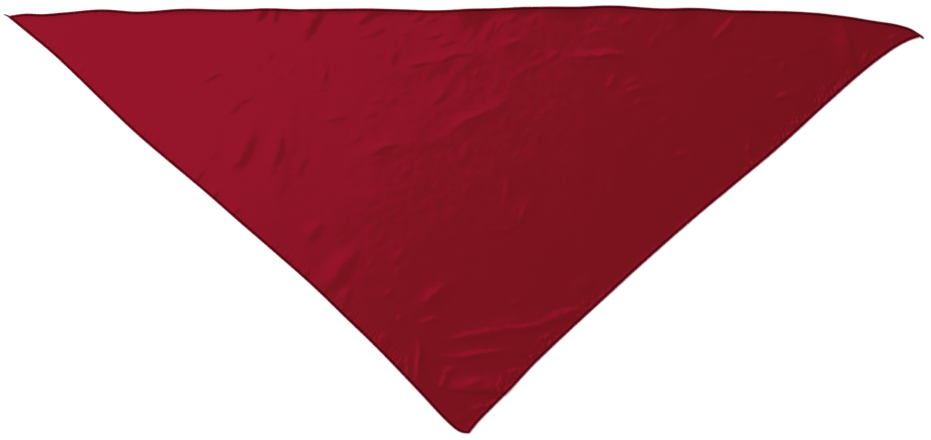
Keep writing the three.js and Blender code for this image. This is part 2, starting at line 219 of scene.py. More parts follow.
# Smaller creases, none of which the solids have, from the left tip to the right
CREASES = (
    Crease((60, 42), (69, 35), 4.5, 0.2, 0, 0.3),
    Crease((70, 6), (80, 2), 4.5, 0.2, 0, 0.3),
    Crease((80, 65), (94, 48), 5, 0.5, 1.5, 0.3),
    Crease((96, 40), (100, 44), 4, 0.2),
    Crease((154, 47), (188, 44), 6, 0.25, 0, 0.2),
    Crease((148, 60), (158, 54), 5, 0.2, 0, 0.3),
    Crease((154, 34), (163, 30), 5, 0.2, 0, 0.3),
    Crease((128, 112), (136, 104), 4, 0.35),
    Crease((139, 119), (149, 111), 4, 0.4),
    Crease((149, 129), (157, 122), 4, 0.35),
    Crease((160, 138), (168, 130), 4, 0.35),
    Crease((172, 148), (181, 140), 4, 0.35),
    Crease((178, 160), (190, 149), 4.5, 0.45),
    Crease((205, 20), (217, 17), 4.5, 0.3, 0, 0.3),
    Crease((225, 37), (235, 33), 4.5, 0.2, 0, 0.3),
    Crease((205, 72), (243, 56), 5.5, 0.65, 0, 0.35),
    Crease((241, 78), (244, 68), 5.5, 0.3, 0, 0.4),
    Crease((222, 128), (236, 124), 6, 0.25, 0, 0.3),
    Crease((241, 104), (274, 82), 7.5, 0.85, 1, 0.35),
    Crease((204, 184), (222, 160), 6, 0.5, 0, 0.4),
    Crease((222, 158), (232, 138), 9, 0.4, 0, 0.3),
    Crease((228, 195), (236, 182), 5, 0.5, 0, 0.3),
    Crease((254, 180), (262, 170), 6, 0.3),
    Crease((247, 215), (262, 201), 6, 0.4, 0, 0.3),
    Crease((257, 162), (272, 114), 13, 1.1, 1, 0.1),
    Crease((246, 160), (262, 148), 7, 0.35, -1, 0.3),
    Crease((269, 24), (282, 17), 5, 0.35, 0, 0.4),
    Crease((272, 2), (285, -20), 9, 1.2, 0, 0.35),
    Crease((291, 5), (297, -20), 8, 1.1, 0, 0.35),
    Crease((275, 50), (281, 44), 4.5, 0.25, 0, 0.4),
    Crease((285, 46), (295, 30), 6, 0.5, 0, 0.4),
    Crease((290, 67), (303, 60), 5, 0.45, 0, 0.4),
    Crease((306, 59), (318, 51), 5.5, 0.3, 0, 0.4),
    Crease((312, 82), (324, 77), 5, 0.2, 0, 0.3),
    Crease((290, 172), (303, 114), 14, 1.4, 1, 0.1),
    Crease((322, 172), (330, 140), 12, 0.6, 0, 0.4),
    Crease((302, 264), (314, 252), 5, 0.4),
    Crease((334, 243), (346, 216), 12, 0.8, 0, 0.2),
    Crease((326, 279), (336, 271), 5, 0.45),
    Crease((323, 22), (346, -20), 15, 2.0, 0, 0.35),
    Crease((347, 76), (346, 36), 8, 0.45, -2, 0.3),
    Crease((334, 77), (357, 71), 5, 0.3, 0, 0.4),
    Crease((350, 109), (376, 100), 8, 0.45, 0, 0.4),
    Crease((370, 312), (382, 288), 9, 0.6, 0, 0.2),
    Crease((377, 4), (412, -14), 8, 1.0, 2, 0.35),
    Crease((377, 326), (388, 315), 5, 0.35),
    Crease((377, 132), (393, 121), 8, 0.35, 0, 0.3),
    Crease((382, 18), (417, 4), 6.5, 0.5, -1, 0.3),
    Crease((396, 141), (430, 132), 8, 0.85, 1, -0.1),
    Crease((390, 101), (410, 99), 8, 0.5, 0, 0.4),
    Crease((397, 88), (415, 82), 5, 0.25),
    Crease((398, 270), (406, 258), 6, 0.35),
    Crease((419, 60), (422, 16), 10, 0.45, -1, 0.1),
    Crease((412, 358), (424, 338), 9, 0.75, 0, -0.2),
    Crease((421, 14), (441, 9), 5, 0.5, 0, 0.3),
    Crease((420, 297), (428, 290), 5, 0.35),
    Crease((430, 48), (474, 39), 6, 0.6, 0, 0.4),
    Crease((462, 42), (512, 31), 6, 0.9, 1, 0.4),
    Crease((427, 265), (440, 246), 8, 0.4),
    Crease((430, 281), (436, 262), 7, 0.4),
    Crease((432, 324), (440, 318), 5, 0.4),
    Crease((434, 166), (447, 155), 7, 0.3),
    Crease((440, -2), (458, -9), 6, 0.6, 0, 0.3),
    Crease((447, 390), (445, 360), 5, 0.7, 0, -0.3),
    Crease((453, 398), (457, 338), 6, 0.95, -3, -0.3),
    Crease((450, 330), (484, 321), 5.5, 0.65, 1, 0.2),
    Crease((457, 15), (480, 10), 5.5, 0.55, 0, 0.4),
    Crease((456, -2), (476, -9), 6, 0.6, 0, 0.3),
    Crease((459, 306), (486, 285), 7, 0.85, 1, -0.1),
    Crease((469, 23), (498, 17), 5.5, 0.6, 0, 0.4),
    Crease((484, 68), (516, 38), 8, 0.4, 4, 0.2),
    Crease((464, 90), (488, 66), 9, 0.45, 0, 0.2),
    Crease((478, 362), (552, 352), 6, 0.95, -3, -0.2),
    Crease((488, 114), (532, 90), 8, 0.75, 1, -0.2),
    Crease((530, 94), (552, 80), 7, 0.35, 1, -0.3),
    Crease((480, 401), (488, 374), 7, 0.8, 0, -0.3),
    Crease((480, 378), (504, 374), 7, 0.6, 0, -0.2),
    Crease((484, 345), (560, 330), 7, 0.95, 1, -0.25),
    Crease((542, 333), (608, 320), 7, 0.95, -1, -0.1),
    Crease((590, 324), (640, 308), 10, 1.3, 1, 0.15),
    Crease((498, 431), (511, 427), 5, 0.5),
    Crease((500, 150), (508, 126), 8, 0.3),
    Crease((504, 18), (520, -16), 8, 0.35, 0, 0.3),
    Crease((516, 22), (536, -10), 8, 0.45, 0, 0.1),
    Crease((534, 10), (544, -10), 6, 0.25, 0, 0.4),
    Crease((508, 56), (518, 50), 5, 0.4),
    Crease((508, 394), (530, 384), 7, 0.7, 0, -0.2),
    Crease((513, 422), (530, 413), 5.5, 0.75),
    Crease((536, 23), (562, 15), 8, 0.8, 1, -0.4),
    Crease((545, -2), (558, -14), 6, 0.7, 0, 0.2),
    Crease((547, 382), (574, 372), 6, 0.8, 0, -0.2),
    Crease((545, 198), (552, 162), 7, 0.35, 0, -0.3),
    Crease((547, 398), (549, 372), 5, 0.6, 0, -0.2),
    Crease((536, 224), (563, 216), 5.5, 0.65, -1, -0.1),
    Crease((562, 217), (569, 196), 7, 0.5, -1, -0.2),
    Crease((550, 304), (577, 298), 5.5, 0.4),
    Crease((553, 56), (588, 38), 7, 0.6, 1),
    Crease((572, 2), (580, -14), 6, 0.25, 0, 0.4),
    Crease((572, 36), (586, 29), 5, 0.4, 0, 0.3),
    Crease((580, 352), (607, 329), 6, 0.6),
    Crease((590, 38), (603, 28), 6, 0.6, 0, 0.35),
    Crease((614, 33), (676, 30), 7, 1.8, 0, 0.35),
    Crease((618, 0), (628, -14), 6, 0.25, 0, 0.4),
    Crease((634, 3), (643, -14), 6, 0.3, 0, 0.4),
    Crease((654, 0), (661, -14), 6, 0.25, 0, 0.4),
    Crease((632, 8), (656, 3), 5.5, 0.35, 0, 0.4),
    Crease((620, 296), (648, 272), 14, 0.8, 0, 0.2),
    Crease((630, 305), (643, 299), 5, 0.6),
    Crease((655, 69), (667, 50), 6, 0.55, 1, -0.3),
    Crease((666, 0), (686, -12), 6, 0.35, 0, 0.3),
    Crease((672, 62), (696, 53), 5, 0.6),
    Crease((674, 71), (698, 63), 5, 0.65),
    Crease((676, 88), (710, 77), 8, 0.4),
    Crease((700, 22), (716, 0), 8, 0.25, 0, -0.3),
    Crease((720, 4), (738, -18), 9, 0.35, 0, -0.3),
    Crease((744, 8), (750, -16), 8, 0.35, 0, 0.4),
    Crease((713, 102), (727, 100), 5, 0.3),
    Crease((728, 207), (741, 196), 7, 0.4),
    Crease((727, 141), (751, 133), 9, 0.5),
    Crease((746, 150), (753, 138), 7, 0.4),
    Crease((752, 60), (786, 47), 7, 0.2),
    Crease((772, 12), (800, -18), 7, 1.1, 1, -0.1),
    Crease((806, 2), (814, -18), 9, 0.4, 0, 0.4),
    Crease((812, 38), (852, 26), 6, 0.35, 0, 0.4),
    Crease((800, 52), (822, 42), 5, 0.3),
    Crease((811, 144), (812, 114), 6, 0.6, 0, -0.3),
    Crease((836, 100), (848, 116), 4, 0.4),
    Crease((836, 75), (860, 68), 6, 0.8, 0, 0.1),
    Crease((843, 47), (852, 31), 5, 0.5),
    Crease((858, 84), (868, 98), 4, 0.45),
    Crease((864, 22), (884, 18), 5, 0.4),
    Crease((882, 10), (902, -2), 7, 0.3, 0, 0.4),
    Crease((876, 66), (885, 84), 4, 0.55),
    Crease((888, 56), (895, 74), 4, 0.55),
    Crease((932, 36), (940, 18), 5, 0.6),
    Crease((960, 8), (974, 2), 5, 0.6),
)

# Waves of the long edge, from the right tip to the left
WAVES = (
    Wave(0.075, 18, 10, 1.2),
    Wave(0.11, 20, 12, 1.8),
    Wave(0.188, 18, 10, 2.0),
    Wave(0.265, 28, 26, 5.0),
    Wave(0.328, 17, 9, 1.8),
    Wave(0.388, 40, 17, 3.8),
    Wave(0.438, 20, 11, 2.4),
    Wave(0.495, 34, 26, 5.0),
    Wave(0.605, 30, 12, 1.4),
    Wave(0.67, 20, 18, 1.4),
    Wave(0.72, 18, 12, 1.2),
    Wave(0.81, 41, 20, 0.8),
    Wave(0.9, 41, 20, 0.7),
)


def linear(hex_colour: str) -> tuple[float, float, float, float]:
    """Turns an sRGB hex colour into the linear one that shaders read.

    Args:
        hex_colour: six hex digits, such as "93122b".

    Returns:
        Red, green, blue and an alpha of 1.
    """
    channels = [int(hex_colour[k : k + 2], 16) / 255 for k in (0, 2, 4)]
    red, green, blue = (c / 12.92 if c <= 0.04045 else ((c + 0.055) / 1.055) ** 2.4 for c in channels)
    return red, green, blue, 1.0


def scaled(colour: tuple[float, float, float, float], gain: float) -> tuple[float, ...]:
    """A linear colour made lighter or darker, with its alpha as it was."""
    return tuple(min(1.0, channel * gain) for channel in colour[:3]) + colour[3:]


def add_node(
    tree: bpy.types.NodeTree,
    kind: str,
    settings: dict[str | int, object],
    links: dict[str | int, bpy.types.NodeSocket],
) -> bpy.types.Node:
    """Adds a shader node with its settings and the links into it.

    Args:
        tree: the material's or world's node tree.
        kind: the node's type name, such as "ShaderNodeTexNoise".
        settings: values by property name, or by input name or number.
        links: output sockets by the input name or number that they go into.

    Returns:
        The new node.
    """
    node = tree.nodes.new(kind)
    for key, value in settings.items():
        if isinstance(key, str) and hasattr(node, key):
            setattr(node, key, value)
        else:
            node.inputs[key].default_value = value
    for key, socket in links.items():
        tree.links.new(socket, node.inputs[key])
    return node


def new_material(
    name: str, roughness: float, reflectance: float
) -> tuple[bpy.types.Material, bpy.types.NodeTree, bpy.types.Node]:
    """Makes a node material.

    Args:
        name: the material's name.
        roughness: from 0 for a mirror to 1 for matt.
        reflectance: how strongly it mirrors, where 0.5 is usual.

    Returns:
        The material, its node tree and its shader.
    """
    material = bpy.data.materials.new(name)
    material.use_nodes = True
    tree = material.node_tree
    shader = tree.nodes["Principled BSDF"]
    shader.inputs["Roughness"].default_value = roughness
    shader.inputs["Specular IOR Level"].default_value = reflectance
    return material, tree, shader


def add_object(name: str, data: bpy.types.ID) -> bpy.types.Object:
    """Adds an object to the scene, with its mesh, camera or light."""
    added = bpy.data.objects.new(name, data)
    bpy.context.scene.collection.objects.link(added)
    return added


def smooth_column(places: np.ndarray, values: np.ndarray, at: np.ndarray) -> np.ndarray:
    """Reads a smooth curve through a short table.

    Args:
        places: the table's places, rising.
        values: the value at each place.
        at: where to read the curve.

    Returns:
        The curve's values, one for each of at.
    """
    slopes = np.gradient(values, places)
    row = np.clip(np.searchsorted(places, at, side="right") - 1, 0, len(places) - 2)
    width = places[row + 1] - places[row]
    t = (at - places[row]) / width
    rise = values[row] * (1 + 2 * t) * (1 - t) ** 2 + values[row + 1] * t**2 * (3 - 2 * t)
    return rise + width * t * (1 - t) * (slopes[row] * (1 - t) - slopes[row + 1] * t)


def hump(distance_squared: np.ndarray) -> np.ndarray:
    """Height of a smooth hump that is exactly nothing from a distance of 1 on."""
    return np.clip(1 - distance_squared, 0, None) ** 3


def crumple(
    places: np.ndarray, length: float, pattern: Pattern, stretch: float = 1.0, turn: float = 0.0
) -> np.ndarray:
    """Uneven smooth noise, drawn out along one direction.

    Args:
        places: plan places, one row each.
        length: width of the largest swells.
        pattern: which of the cloth's patterns to read.
        stretch: how many times longer the swells are than wide.
        turn: their direction, in radians from +X.

    Returns:
        A value from about -1 to 1 for each place.
    """
    along = np.array([math.cos(turn), math.sin(turn)])
    across = np.array([-math.sin(turn), math.cos(turn)])
    columns = np.column_stack([places @ along / (length * stretch), places @ across / length])
    level = pattern.value
    return np.array(
        [
            noise.fractal(Vector((x, y, level)), NOISE_FADE, NOISE_STEP, NOISE_LEVELS)
            for x, y in columns.tolist()
        ]
    )


def right_of(direction: np.ndarray) -> np.ndarray:
    """The plan direction a quarter turn clockwise, which is outwards on this outline."""
    return np.stack([direction[..., 1], -direction[..., 0]], axis=-1)


def unit(vectors: np.ndarray) -> np.ndarray:
    """The vectors at a length of 1."""
    return vectors / np.linalg.norm(vectors, axis=-1, keepdims=True)


def turned(vector: np.ndarray, angles: np.ndarray) -> np.ndarray:
    """A plan vector turned counter-clockwise by each of the angles, one row each."""
    return np.cos(angles)[:, None] * vector - np.sin(angles)[:, None] * right_of(vector)


def run_lengths(route: np.ndarray) -> np.ndarray:
    """Length of a route up to each of its points."""
    return np.concatenate([[0.0], np.cumsum(np.linalg.norm(np.diff(route, axis=0), axis=1))])


@dataclass
class EdgeGather:
    """How the cloth rises to a hem, and the puckers where the hem thread has drawn it in.

    Puckers are in the shape of the cloth, and tucks are finer ones that only its finish shows.
    strength and tuck_strength are shares of their full height on this edge. A slant above 0 leans
    both back along the edge. Tucks come in clusters of about tuck_cluster, and the strongest lie
    at tuck_peak along the edge and every tuck_spacing from there.
    """

    strength: float
    tuck_strength: float
    rise: float = 0.5 * MM
    rise_reach: float = 6 * MM
    pucker: float = 0.5 * MM
    pucker_reach: float = 13 * MM
    pucker_pitch: float = 10.5 * MM
    slant: float = 0.7
    tuck_reach: float = 14 * MM
    tuck_cluster: float = 45 * MM
    tuck_peak: float = 115 * MM
    tuck_spacing: float = 396 * MM

    def rise_at(self, depth: np.ndarray) -> np.ndarray:
        """Height that the cloth climbs to the hem, at depths in from the edge."""
        return self.rise * np.clip(1 - depth / self.rise_reach, 0, None) ** 2

    def pucker_at(self, run: np.ndarray, depth: np.ndarray) -> np.ndarray:
        """Height of the puckers at lengths along the edge and depths in from it."""
        # Sines inside sines keep the puckers from coming at even steps
        turn = 2 * math.pi * (run + self.slant * depth) / self.pucker_pitch
        wave = 0.5 + 0.5 * np.sin(turn + 2.1 * np.sin(turn / 6.7) + 1.4 * np.sin(turn / 2.9 + 1))
        swell = 0.5 + 0.5 * np.sin(turn / 5.3 + 2)
        fade = np.clip(1 - depth / self.pucker_reach, 0, None) ** 2
        return self.strength * self.pucker * wave * swell * fade

    def tuck_at(self, run: np.ndarray, depth: np.ndarray) -> np.ndarray:
        """How strong the finest tucks are at lengths along the edge and depths in from it."""
        turn = 2 * math.pi * run / self.tuck_cluster
        cluster = 0.6 + 0.4 * np.sin(turn + 2.3 * np.sin(turn / 2.7))
        swell = 0.6 + 0.4 * np.cos(2 * math.pi * (run - self.tuck_peak) / self.tuck_spacing)
        fade = np.clip(1 - (depth / self.tuck_reach) ** 2, 0, 1)
        return self.tuck_strength * cluster * swell**2 * fade


@dataclass
class PanelEdge:
    """One edge of the panel in plan, from one corner to the next, counter-clockwise."""

    start: np.ndarray
    end: np.ndarray
    far: np.ndarray
    bow: float
    shape: tuple[Stray, ...]
    gather: EdgeGather

    @property
    def length(self) -> float:
        """Straight length from corner to corner."""
        return float(np.linalg.norm(self.end - self.start))

    @property
    def outward(self) -> np.ndarray:
        """Plan direction out of the panel, square to the straight line of the edge."""
        return right_of(unit(self.end - self.start))

    @property
    def altitude(self) -> float:
        """Distance from the far corner to the straight line of the edge."""
        return float((self.start - self.far) @ self.outward)

    def stray(self, at: np.ndarray) -> np.ndarray:
        """How far and which way the edge stands out from its straight line.

        Args:
            at: shares of the edge's length.

        Returns:
            Plan vectors, one row each.
        """
        places = np.array([row.at for row in self.shape])
        shares = np.array([row.out for row in self.shape])
        return self.bow * smooth_column(places, shares, at)[:, None] * self.outward

    def points(self, at: np.ndarray) -> np.ndarray:
        """Plan places on the edge at shares of its length."""
        return self.start + at[:, None] * (self.end - self.start) + self.stray(at)

    def heading(self, at: np.ndarray) -> np.ndarray:
        """Plan directions along the edge at rising shares of its length."""
        return unit(np.gradient(self.points(at), axis=0))


@dataclass
class ClothCut:
    """The cut of the cloth, over its hems, and where it lies in the frame.

    The panel reaches a little way into its hems, further than the solid one does. The finest tucks
    die out where two hems are within corner_calm of being equally near.
    """

    span: float = 1000 * MM
    drop: float = 446 * MM
    point_offset: float = 13 * MM
    long_edge_bow: float = 24 * MM
    left_edge_bow: float = 6 * MM
    right_edge_hollow: float = 14 * MM
    solid_inset: float = 2.7 * MM
    inset: float = 1.9 * MM
    corner_calm: float = 8 * MM
    origin: np.ndarray = field(init=False)
    corners: np.ndarray = field(init=False)
    left_edge: PanelEdge = field(init=False)
    right_edge: PanelEdge = field(init=False)
    long_edge: PanelEdge = field(init=False)

    def __post_init__(self) -> None:
        """Works out the panel's corners and edges, and sets them on the frame's panel."""
        outer = np.array(
            [(0.0, 0.0), (self.span / 2 + self.point_offset, -self.drop), (self.span, 0.0)]
        )
        left, point, right = self.moved_in(outer, self.solid_inset)
        low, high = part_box("cloth_panel")
        self.origin = np.array([(low[0] + high[0] - left[0] - right[0]) / 2, low[1] - point[1]])
        self.corners = self.origin + self.moved_in(outer, self.inset)
        left, point, right = self.corners
        self.left_edge = PanelEdge(
            left, point, right, self.left_edge_bow, LEFT_EDGE_SHAPE, EdgeGather(0.5, 0.35)
        )
        self.right_edge = PanelEdge(
            point, right, left, self.right_edge_hollow, RIGHT_EDGE_SHAPE, EdgeGather(1.0, 1.5, slant=-0.7)
        )
        self.long_edge = PanelEdge(
            right, left, point, self.long_edge_bow, LONG_EDGE_SHAPE, EdgeGather(0.4, 0.12, 0.9 * MM)
        )

    def moved_in(self, corners: np.ndarray, distance: float) -> np.ndarray:
        """The corners of a triangle moved in from its sides by one distance."""
        a, b, c = corners
        sides = np.array([np.linalg.norm(b - c), np.linalg.norm(c - a), np.linalg.norm(a - b)])
        centre = sides @ corners / sides.sum()
        first, second = b - a, c - a
        inradius = abs(first[0] * second[1] - first[1] * second[0]) / sides.sum()
        return centre + (corners - centre) * (1 - distance / inradius)

    def turns(self) -> tuple[tuple[PanelEdge, int, int, int], ...]:
        """Each edge, with the numbers of its start, its end and its far corner."""
        left, point, right = (corner.value for corner in Corner)
        return (
            (self.left_edge, left, point, right),
            (self.right_edge, point, right, left),
            (self.long_edge, right, left, point),
        )

    def by_edge(self, weights: np.ndarray) -> list[tuple[PanelEdge, np.ndarray, np.ndarray]]:
        """Each edge, with the length along it and the depth in from it of every place."""
        return [
            (
                edge,
                edge.length * (1 - weights[:, start] + weights[:, end]) / 2,
                edge.altitude * weights[:, far],
            )
            for edge, start, end, far in self.turns()
        ]

    def tucks(self, weights: np.ndarray) -> np.ndarray:
        """Where places lie by their nearest hem.

        Args:
            weights: nearness to the left tip, the point and the right tip, in rows that add up to 1.

        Returns:
            Rows of the length along that hem, slanted as its tucks are, the depth in from it and the
            strength of its tucks.
        """
        by_edge = self.by_edge(weights)
        depths = np.array([depth for _, _, depth in by_edge])
        nearest, second = np.sort(depths, axis=0)[:2]
        apart = np.clip((second - nearest) / self.corner_calm, 0, 1)
        rows = np.zeros((len(weights), 3))
        for edge, run, depth in by_edge:
            slanted = run + edge.gather.slant * depth
            columns = np.column_stack([slanted, depth, apart * edge.gather.tuck_at(run, depth)])
            rows = np.where((depth == nearest)[:, None], columns, rows)
        return rows

    def spot(self, along: float, below: float) -> np.ndarray:
        """Plan place that lies so many millimetres along from the left tip and below it."""
        return self.origin + np.array([along, -below]) * MM

    def panel_places(self, weights: np.ndarray) -> np.ndarray:
        """Plan places in the panel.

        Args:
            weights: nearness to the left tip, the point and the right tip, in rows that add up to 1.

        Returns:
            Plan places, with the three edges' strays spread smoothly over the panel.
        """
        places = weights @ self.corners
        for edge, start, end, _ in self.turns():
            at_start, at_end = weights[:, start], weights[:, end]
            room = 1 - (at_start - at_end) ** 2
            share = np.where(room > 0, 4 * at_start * at_end / np.where(room > 0, room, 1), 0)
            places = places + share[:, None] * edge.stray((1 - at_start + at_end) / 2)
        return places


@dataclass
class Relief:
    """How high the cloth's underside stands above the surface.

    A crease dies out at fade times its half length from its middle, where it is narrower by the
    share thinning. The smaller ones change in height by the share unevenness. The crest of a wave
    lies past the edge, by the share overhang of its reach, so the cloth is highest at its edge.
    The swell is broad and low, and the crumple fine and strongest round crumple_middle, which is
    in millimetres like a crease's ends.
    """

    cut: ClothCut
    fade: float = 1.3
    thinning: float = 0.45
    unevenness: float = 0.7
    overhang: float = 0.4
    swell_height: float = 0.8 * MM
    swell_length: float = 70 * MM
    crumple_height: float = 0.2 * MM
    crumple_length: float = 8 * MM
    crumple_stretch: float = 1.2
    crumple_turn: float = math.radians(28)
    crumple_middle: tuple[float, float] = (500.0, 80.0)
    crumple_reach: float = 370 * MM
    crumple_least: float = 0.15
    waver: float = 2.2 * MM
    waver_length: float = 17 * MM

    def crease_lift(self, crease: Crease, places: np.ndarray) -> np.ndarray:
        """Height of one crease at plan places."""
        start, end = self.cut.spot(*crease.start), self.cut.spot(*crease.end)
        reach = float(np.linalg.norm(end - start)) / 2
        direction = unit(end - start)
        local = places - (start + end) / 2
        lengthwise = local @ direction / (reach * self.fade)
        aside = local @ -right_of(direction) - crease.bow * MM * (1 - lengthwise**2)
        width = crease.spread * MM * (1 + crease.lean * np.sign(aside))
        width = width * (1 - self.thinning * np.clip(lengthwise**2, 0, 1))
        return crease.height * MM * hump(lengthwise**2 + (aside / width) ** 2)

    def wave_lift(self, wave: Wave, places: np.ndarray) -> np.ndarray:
        """Height of one wave of the long edge at plan places."""
        local = places - self.cut.long_edge.points(np.array([wave.at]))
        lengthwise = local[:, 0] / (wave.spread * MM)
        inward = (self.overhang - local[:, 1] / (wave.reach * MM)) / (1 + self.overhang)
        return wave.height * MM * hump(lengthwise**2 + inward**2)

    def wavered(self, places: np.ndarray) -> np.ndarray:
        """Plan places shifted a little and unevenly, so that no crease runs dead straight."""
        shift_x = crumple(places, self.waver_length, Pattern.WAVER_ALONG)
        shift_y = crumple(places, self.waver_length, Pattern.WAVER_ACROSS)
        return places + self.waver * np.column_stack([shift_x, shift_y])

    def crumple_lift(self, places: np.ndarray) -> np.ndarray:
        """Height of the fine crumple, which is strongest in the middle of the cloth."""
        fine = crumple(
            places,
            self.crumple_length,
            Pattern.CRUMPLE,
            stretch=self.crumple_stretch,
            turn=self.crumple_turn,
        )
        away = np.linalg.norm(places - self.cut.spot(*self.crumple_middle), axis=1)
        share = self.crumple_least + (1 - self.crumple_least) * hump((away / self.crumple_reach) ** 2)
        return self.crumple_height * share * (1 + fine)

    def lift(self, places: np.ndarray) -> np.ndarray:
        """Height of the underside at plan places, apart from what the hems do to it."""
        swell = crumple(places, self.swell_length, Pattern.SWELL)
        total = self.swell_height * np.clip(0.5 + 0.5 * swell, 0, None) + self.crumple_lift(places)
        wavered = self.wavered(places)
        total = total + sum(self.crease_lift(fold, wavered) for fold in FOLDS)
        creased = sum(self.crease_lift(crease, wavered) for crease in CREASES)
        uneven = crumple(places, self.waver_length, Pattern.UNEVEN_HEIGHT)
        total = total + creased * (1 + self.unevenness * uneven)
        for wave in WAVES:
            total = total + self.wave_lift(wave, places)
        return np.clip(total, 0, None)

    def panel_lift(self, weights: np.ndarray, places: np.ndarray) -> np.ndarray:
        """Height of the panel's underside.

        Args:
            weights: nearness of each place to the three corners.
            places: the plan places.

        Returns:
            Heights, with the rise to the hems and their puckers.
        """
        total = self.lift(places)
        rise = np.zeros(len(places))
        for edge, run, depth in self.cut.by_edge(weights):
            total = total + edge.gather.pucker_at(run, depth)
            rise = np.maximum(rise, edge.gather.rise_at(depth))
        return total + rise


@dataclass(frozen=True)
class SatinFinish:
    """Polyester satin, woven with long warp floats, so that its face is smooth and lustrous.

    The eye sees a deep crimson that turns brighter and pinker, never white, where a fold faces
    the light, because the dyed floats tint what they reflect.
    """

    name: str
    depth: str
    gloss: str
    roughness: float
    reflectance: float
    warp_turn: float = math.radians(45)
    streak_length: float = 60 * MM
    streak_width: float = 2.5 * MM
    streak_gain: float = 1.1
    thread_pitch: float = 1.3 * MM
    relief: float = 0.012 * MM
    tuck_pitch: float = 4.6 * MM
    tuck_length: float = 9 * MM
    tuck_height: float = 4.0 * MM

    def add_streaks(self, tree: bpy.types.NodeTree, grain: bpy.types.Node) -> bpy.types.Node:
        """Adds the colour, with faint streaks along the warp where the yarn is uneven."""
        drawn_out = add_node(
            tree,
            "ShaderNodeMapping",
            {"Scale": (1 / self.streak_length, 1 / self.streak_width, 1)},
            {"Vector": grain.outputs["Vector"]},
        )
        streak = add_node(
            tree,
            "ShaderNodeTexNoise",
            {"Scale": 1.0, "Detail": 3.0, "Roughness": 0.6},
            {"Vector": drawn_out.outputs["Vector"]},
        )
        dark = linear(self.depth)
        return add_node(
            tree,
            "ShaderNodeMix",
            {"data_type": "RGBA", 6: dark, 7: scaled(dark, self.streak_gain)},
            {"Factor": streak.outputs["Fac"]},
        )

    def add_weave(self, tree: bpy.types.NodeTree, grain: bpy.types.Node) -> bpy.types.Node:
        """Adds the floats of the warp, drawn some ten times coarser than real so that they show."""
        floats = add_node(
            tree,
            "ShaderNodeTexWave",
            {
                "wave_type": "BANDS",
                "bands_direction": "Y",
                "Scale": math.pi / (10 * self.thread_pitch),
                "Distortion": 0.6,
                "Detail": 1.0,
            },
            {"Vector": grain.outputs["Vector"]},
        )
        return add_node(
            tree,
            "ShaderNodeBump",
            {"Strength": 1.0, "Distance": self.relief},
            {"Height": floats.outputs["Fac"]},
        )

    def add_tucks(self, tree: bpy.types.NodeTree, weave: bpy.types.Node) -> bpy.types.Node:
        """Adds the finest tucks by the hems, whose places the cloth's mesh carries."""
        by_hem = add_node(tree, "ShaderNodeAttribute", {"attribute_name": TUCKS}, {})
        drawn_in = add_node(
            tree,
            "ShaderNodeMapping",
            {"Scale": (1 / self.tuck_pitch, 1 / self.tuck_length, 0)},
            {"Vector": by_hem.outputs["Vector"]},
        )
        folded = add_node(
            tree,
            "ShaderNodeTexNoise",
            {"Scale": 1.0, "Detail": 1.0},
            {"Vector": drawn_in.outputs["Vector"]},
        )
        parts = add_node(tree, "ShaderNodeSeparateXYZ", {}, {"Vector": by_hem.outputs["Vector"]})
        centred = add_node(
            tree,
            "ShaderNodeMath",
            {"operation": "SUBTRACT", 1: 0.5},
            {0: folded.outputs["Fac"]},
        )
        faded = add_node(
            tree,
            "ShaderNodeMath",
            {"operation": "MULTIPLY"},
            {0: centred.outputs["Value"], 1: parts.outputs["Z"]},
        )
        return add_node(
            tree,
            "ShaderNodeBump",
            {"Strength": 1.0, "Distance": self.tuck_height},
            {"Height": faded.outputs["Value"], "Normal": weave.outputs["Normal"]},
        )

    def material(self) -> bpy.types.Material:
        """Builds the node material.

        Returns:
            The satin material, its warp along one short edge of the cloth.
        """
        material, tree, shader = new_material(self.name, self.roughness, self.reflectance)
        place = add_node(tree, "ShaderNodeTexCoord", {}, {})
        grain = add_node(
            tree,
            "ShaderNodeMapping",
            {"Rotation": (0, 0, self.warp_turn)},
            {"Vector": place.outputs["Object"]},
        )
        colour = self.add_streaks(tree, grain)
        gathered = self.add_tucks(tree, self.add_weave(tree, grain))
        tree.links.new(colour.outputs[2], shader.inputs["Base Color"])
        tree.links.new(gathered.outputs["Normal"], shader.inputs["Normal"])
        shader.inputs["Specular Tint"].default_value = linear(self.gloss)
        return material


@dataclass(frozen=True)
class ThreadFinish:
    """Spun polyester overlock thread: fine staple fibres twisted in plies.

    The eye sees a matt burgundy line, darker than the satin, with a fine slanting twist. Its colour is
    set darker still: partly the thread's own dark dye, partly painted shade of the groove where the hem
    meets the cloth.
    """

    name: str = "spun_polyester_thread"
    # Near black-red: partly the thread's own dye, partly painted shade of the hem's groove
    dye_and_shade: str = "200002"
    mottle: float = 0.25
    roughness: float = 0.75
    reflectance: float = 0.05
    twist_pitch: float = 0.5 * MM
    relief: float = 0.05 * MM

    def material(self) -> bpy.types.Material:
        """Builds the node material.

        Returns:
            The thread material.
        """
        material, tree, shader = new_material(self.name, self.roughness, self.reflectance)
        place = add_node(tree, "ShaderNodeTexCoord", {}, {})
        fibres = add_node(
            tree,
            "ShaderNodeTexNoise",
            {"Scale": 1 / self.twist_pitch, "Detail": 2.0},
            {"Vector": place.outputs["Object"]},
        )
        dye_and_shade = linear(self.dye_and_shade)
        colour = add_node(
            tree,
            "ShaderNodeMix",
            {"data_type": "RGBA", 6: scaled(dye_and_shade, 1 - self.mottle), 7: scaled(dye_and_shade, 1 + self.mottle)},
            {"Factor": fibres.outputs["Fac"]},
        )
        tree.links.new(colour.outputs[2], shader.inputs["Base Color"])
        bump = add_node(
            tree,
            "ShaderNodeBump",
            {"Strength": 0.6, "Distance": self.relief},
            {"Height": fibres.outputs["Fac"]},
        )
        tree.links.new(bump.outputs["Normal"], shader.inputs["Normal"])
        return material


# Face of the cloth: smooth warp floats, crimson that glows pinkish where it turns to the light
SATIN_FACE = SatinFinish("polyester_satin_face", "6b1118", "ff0058", 0.24, 0.5)
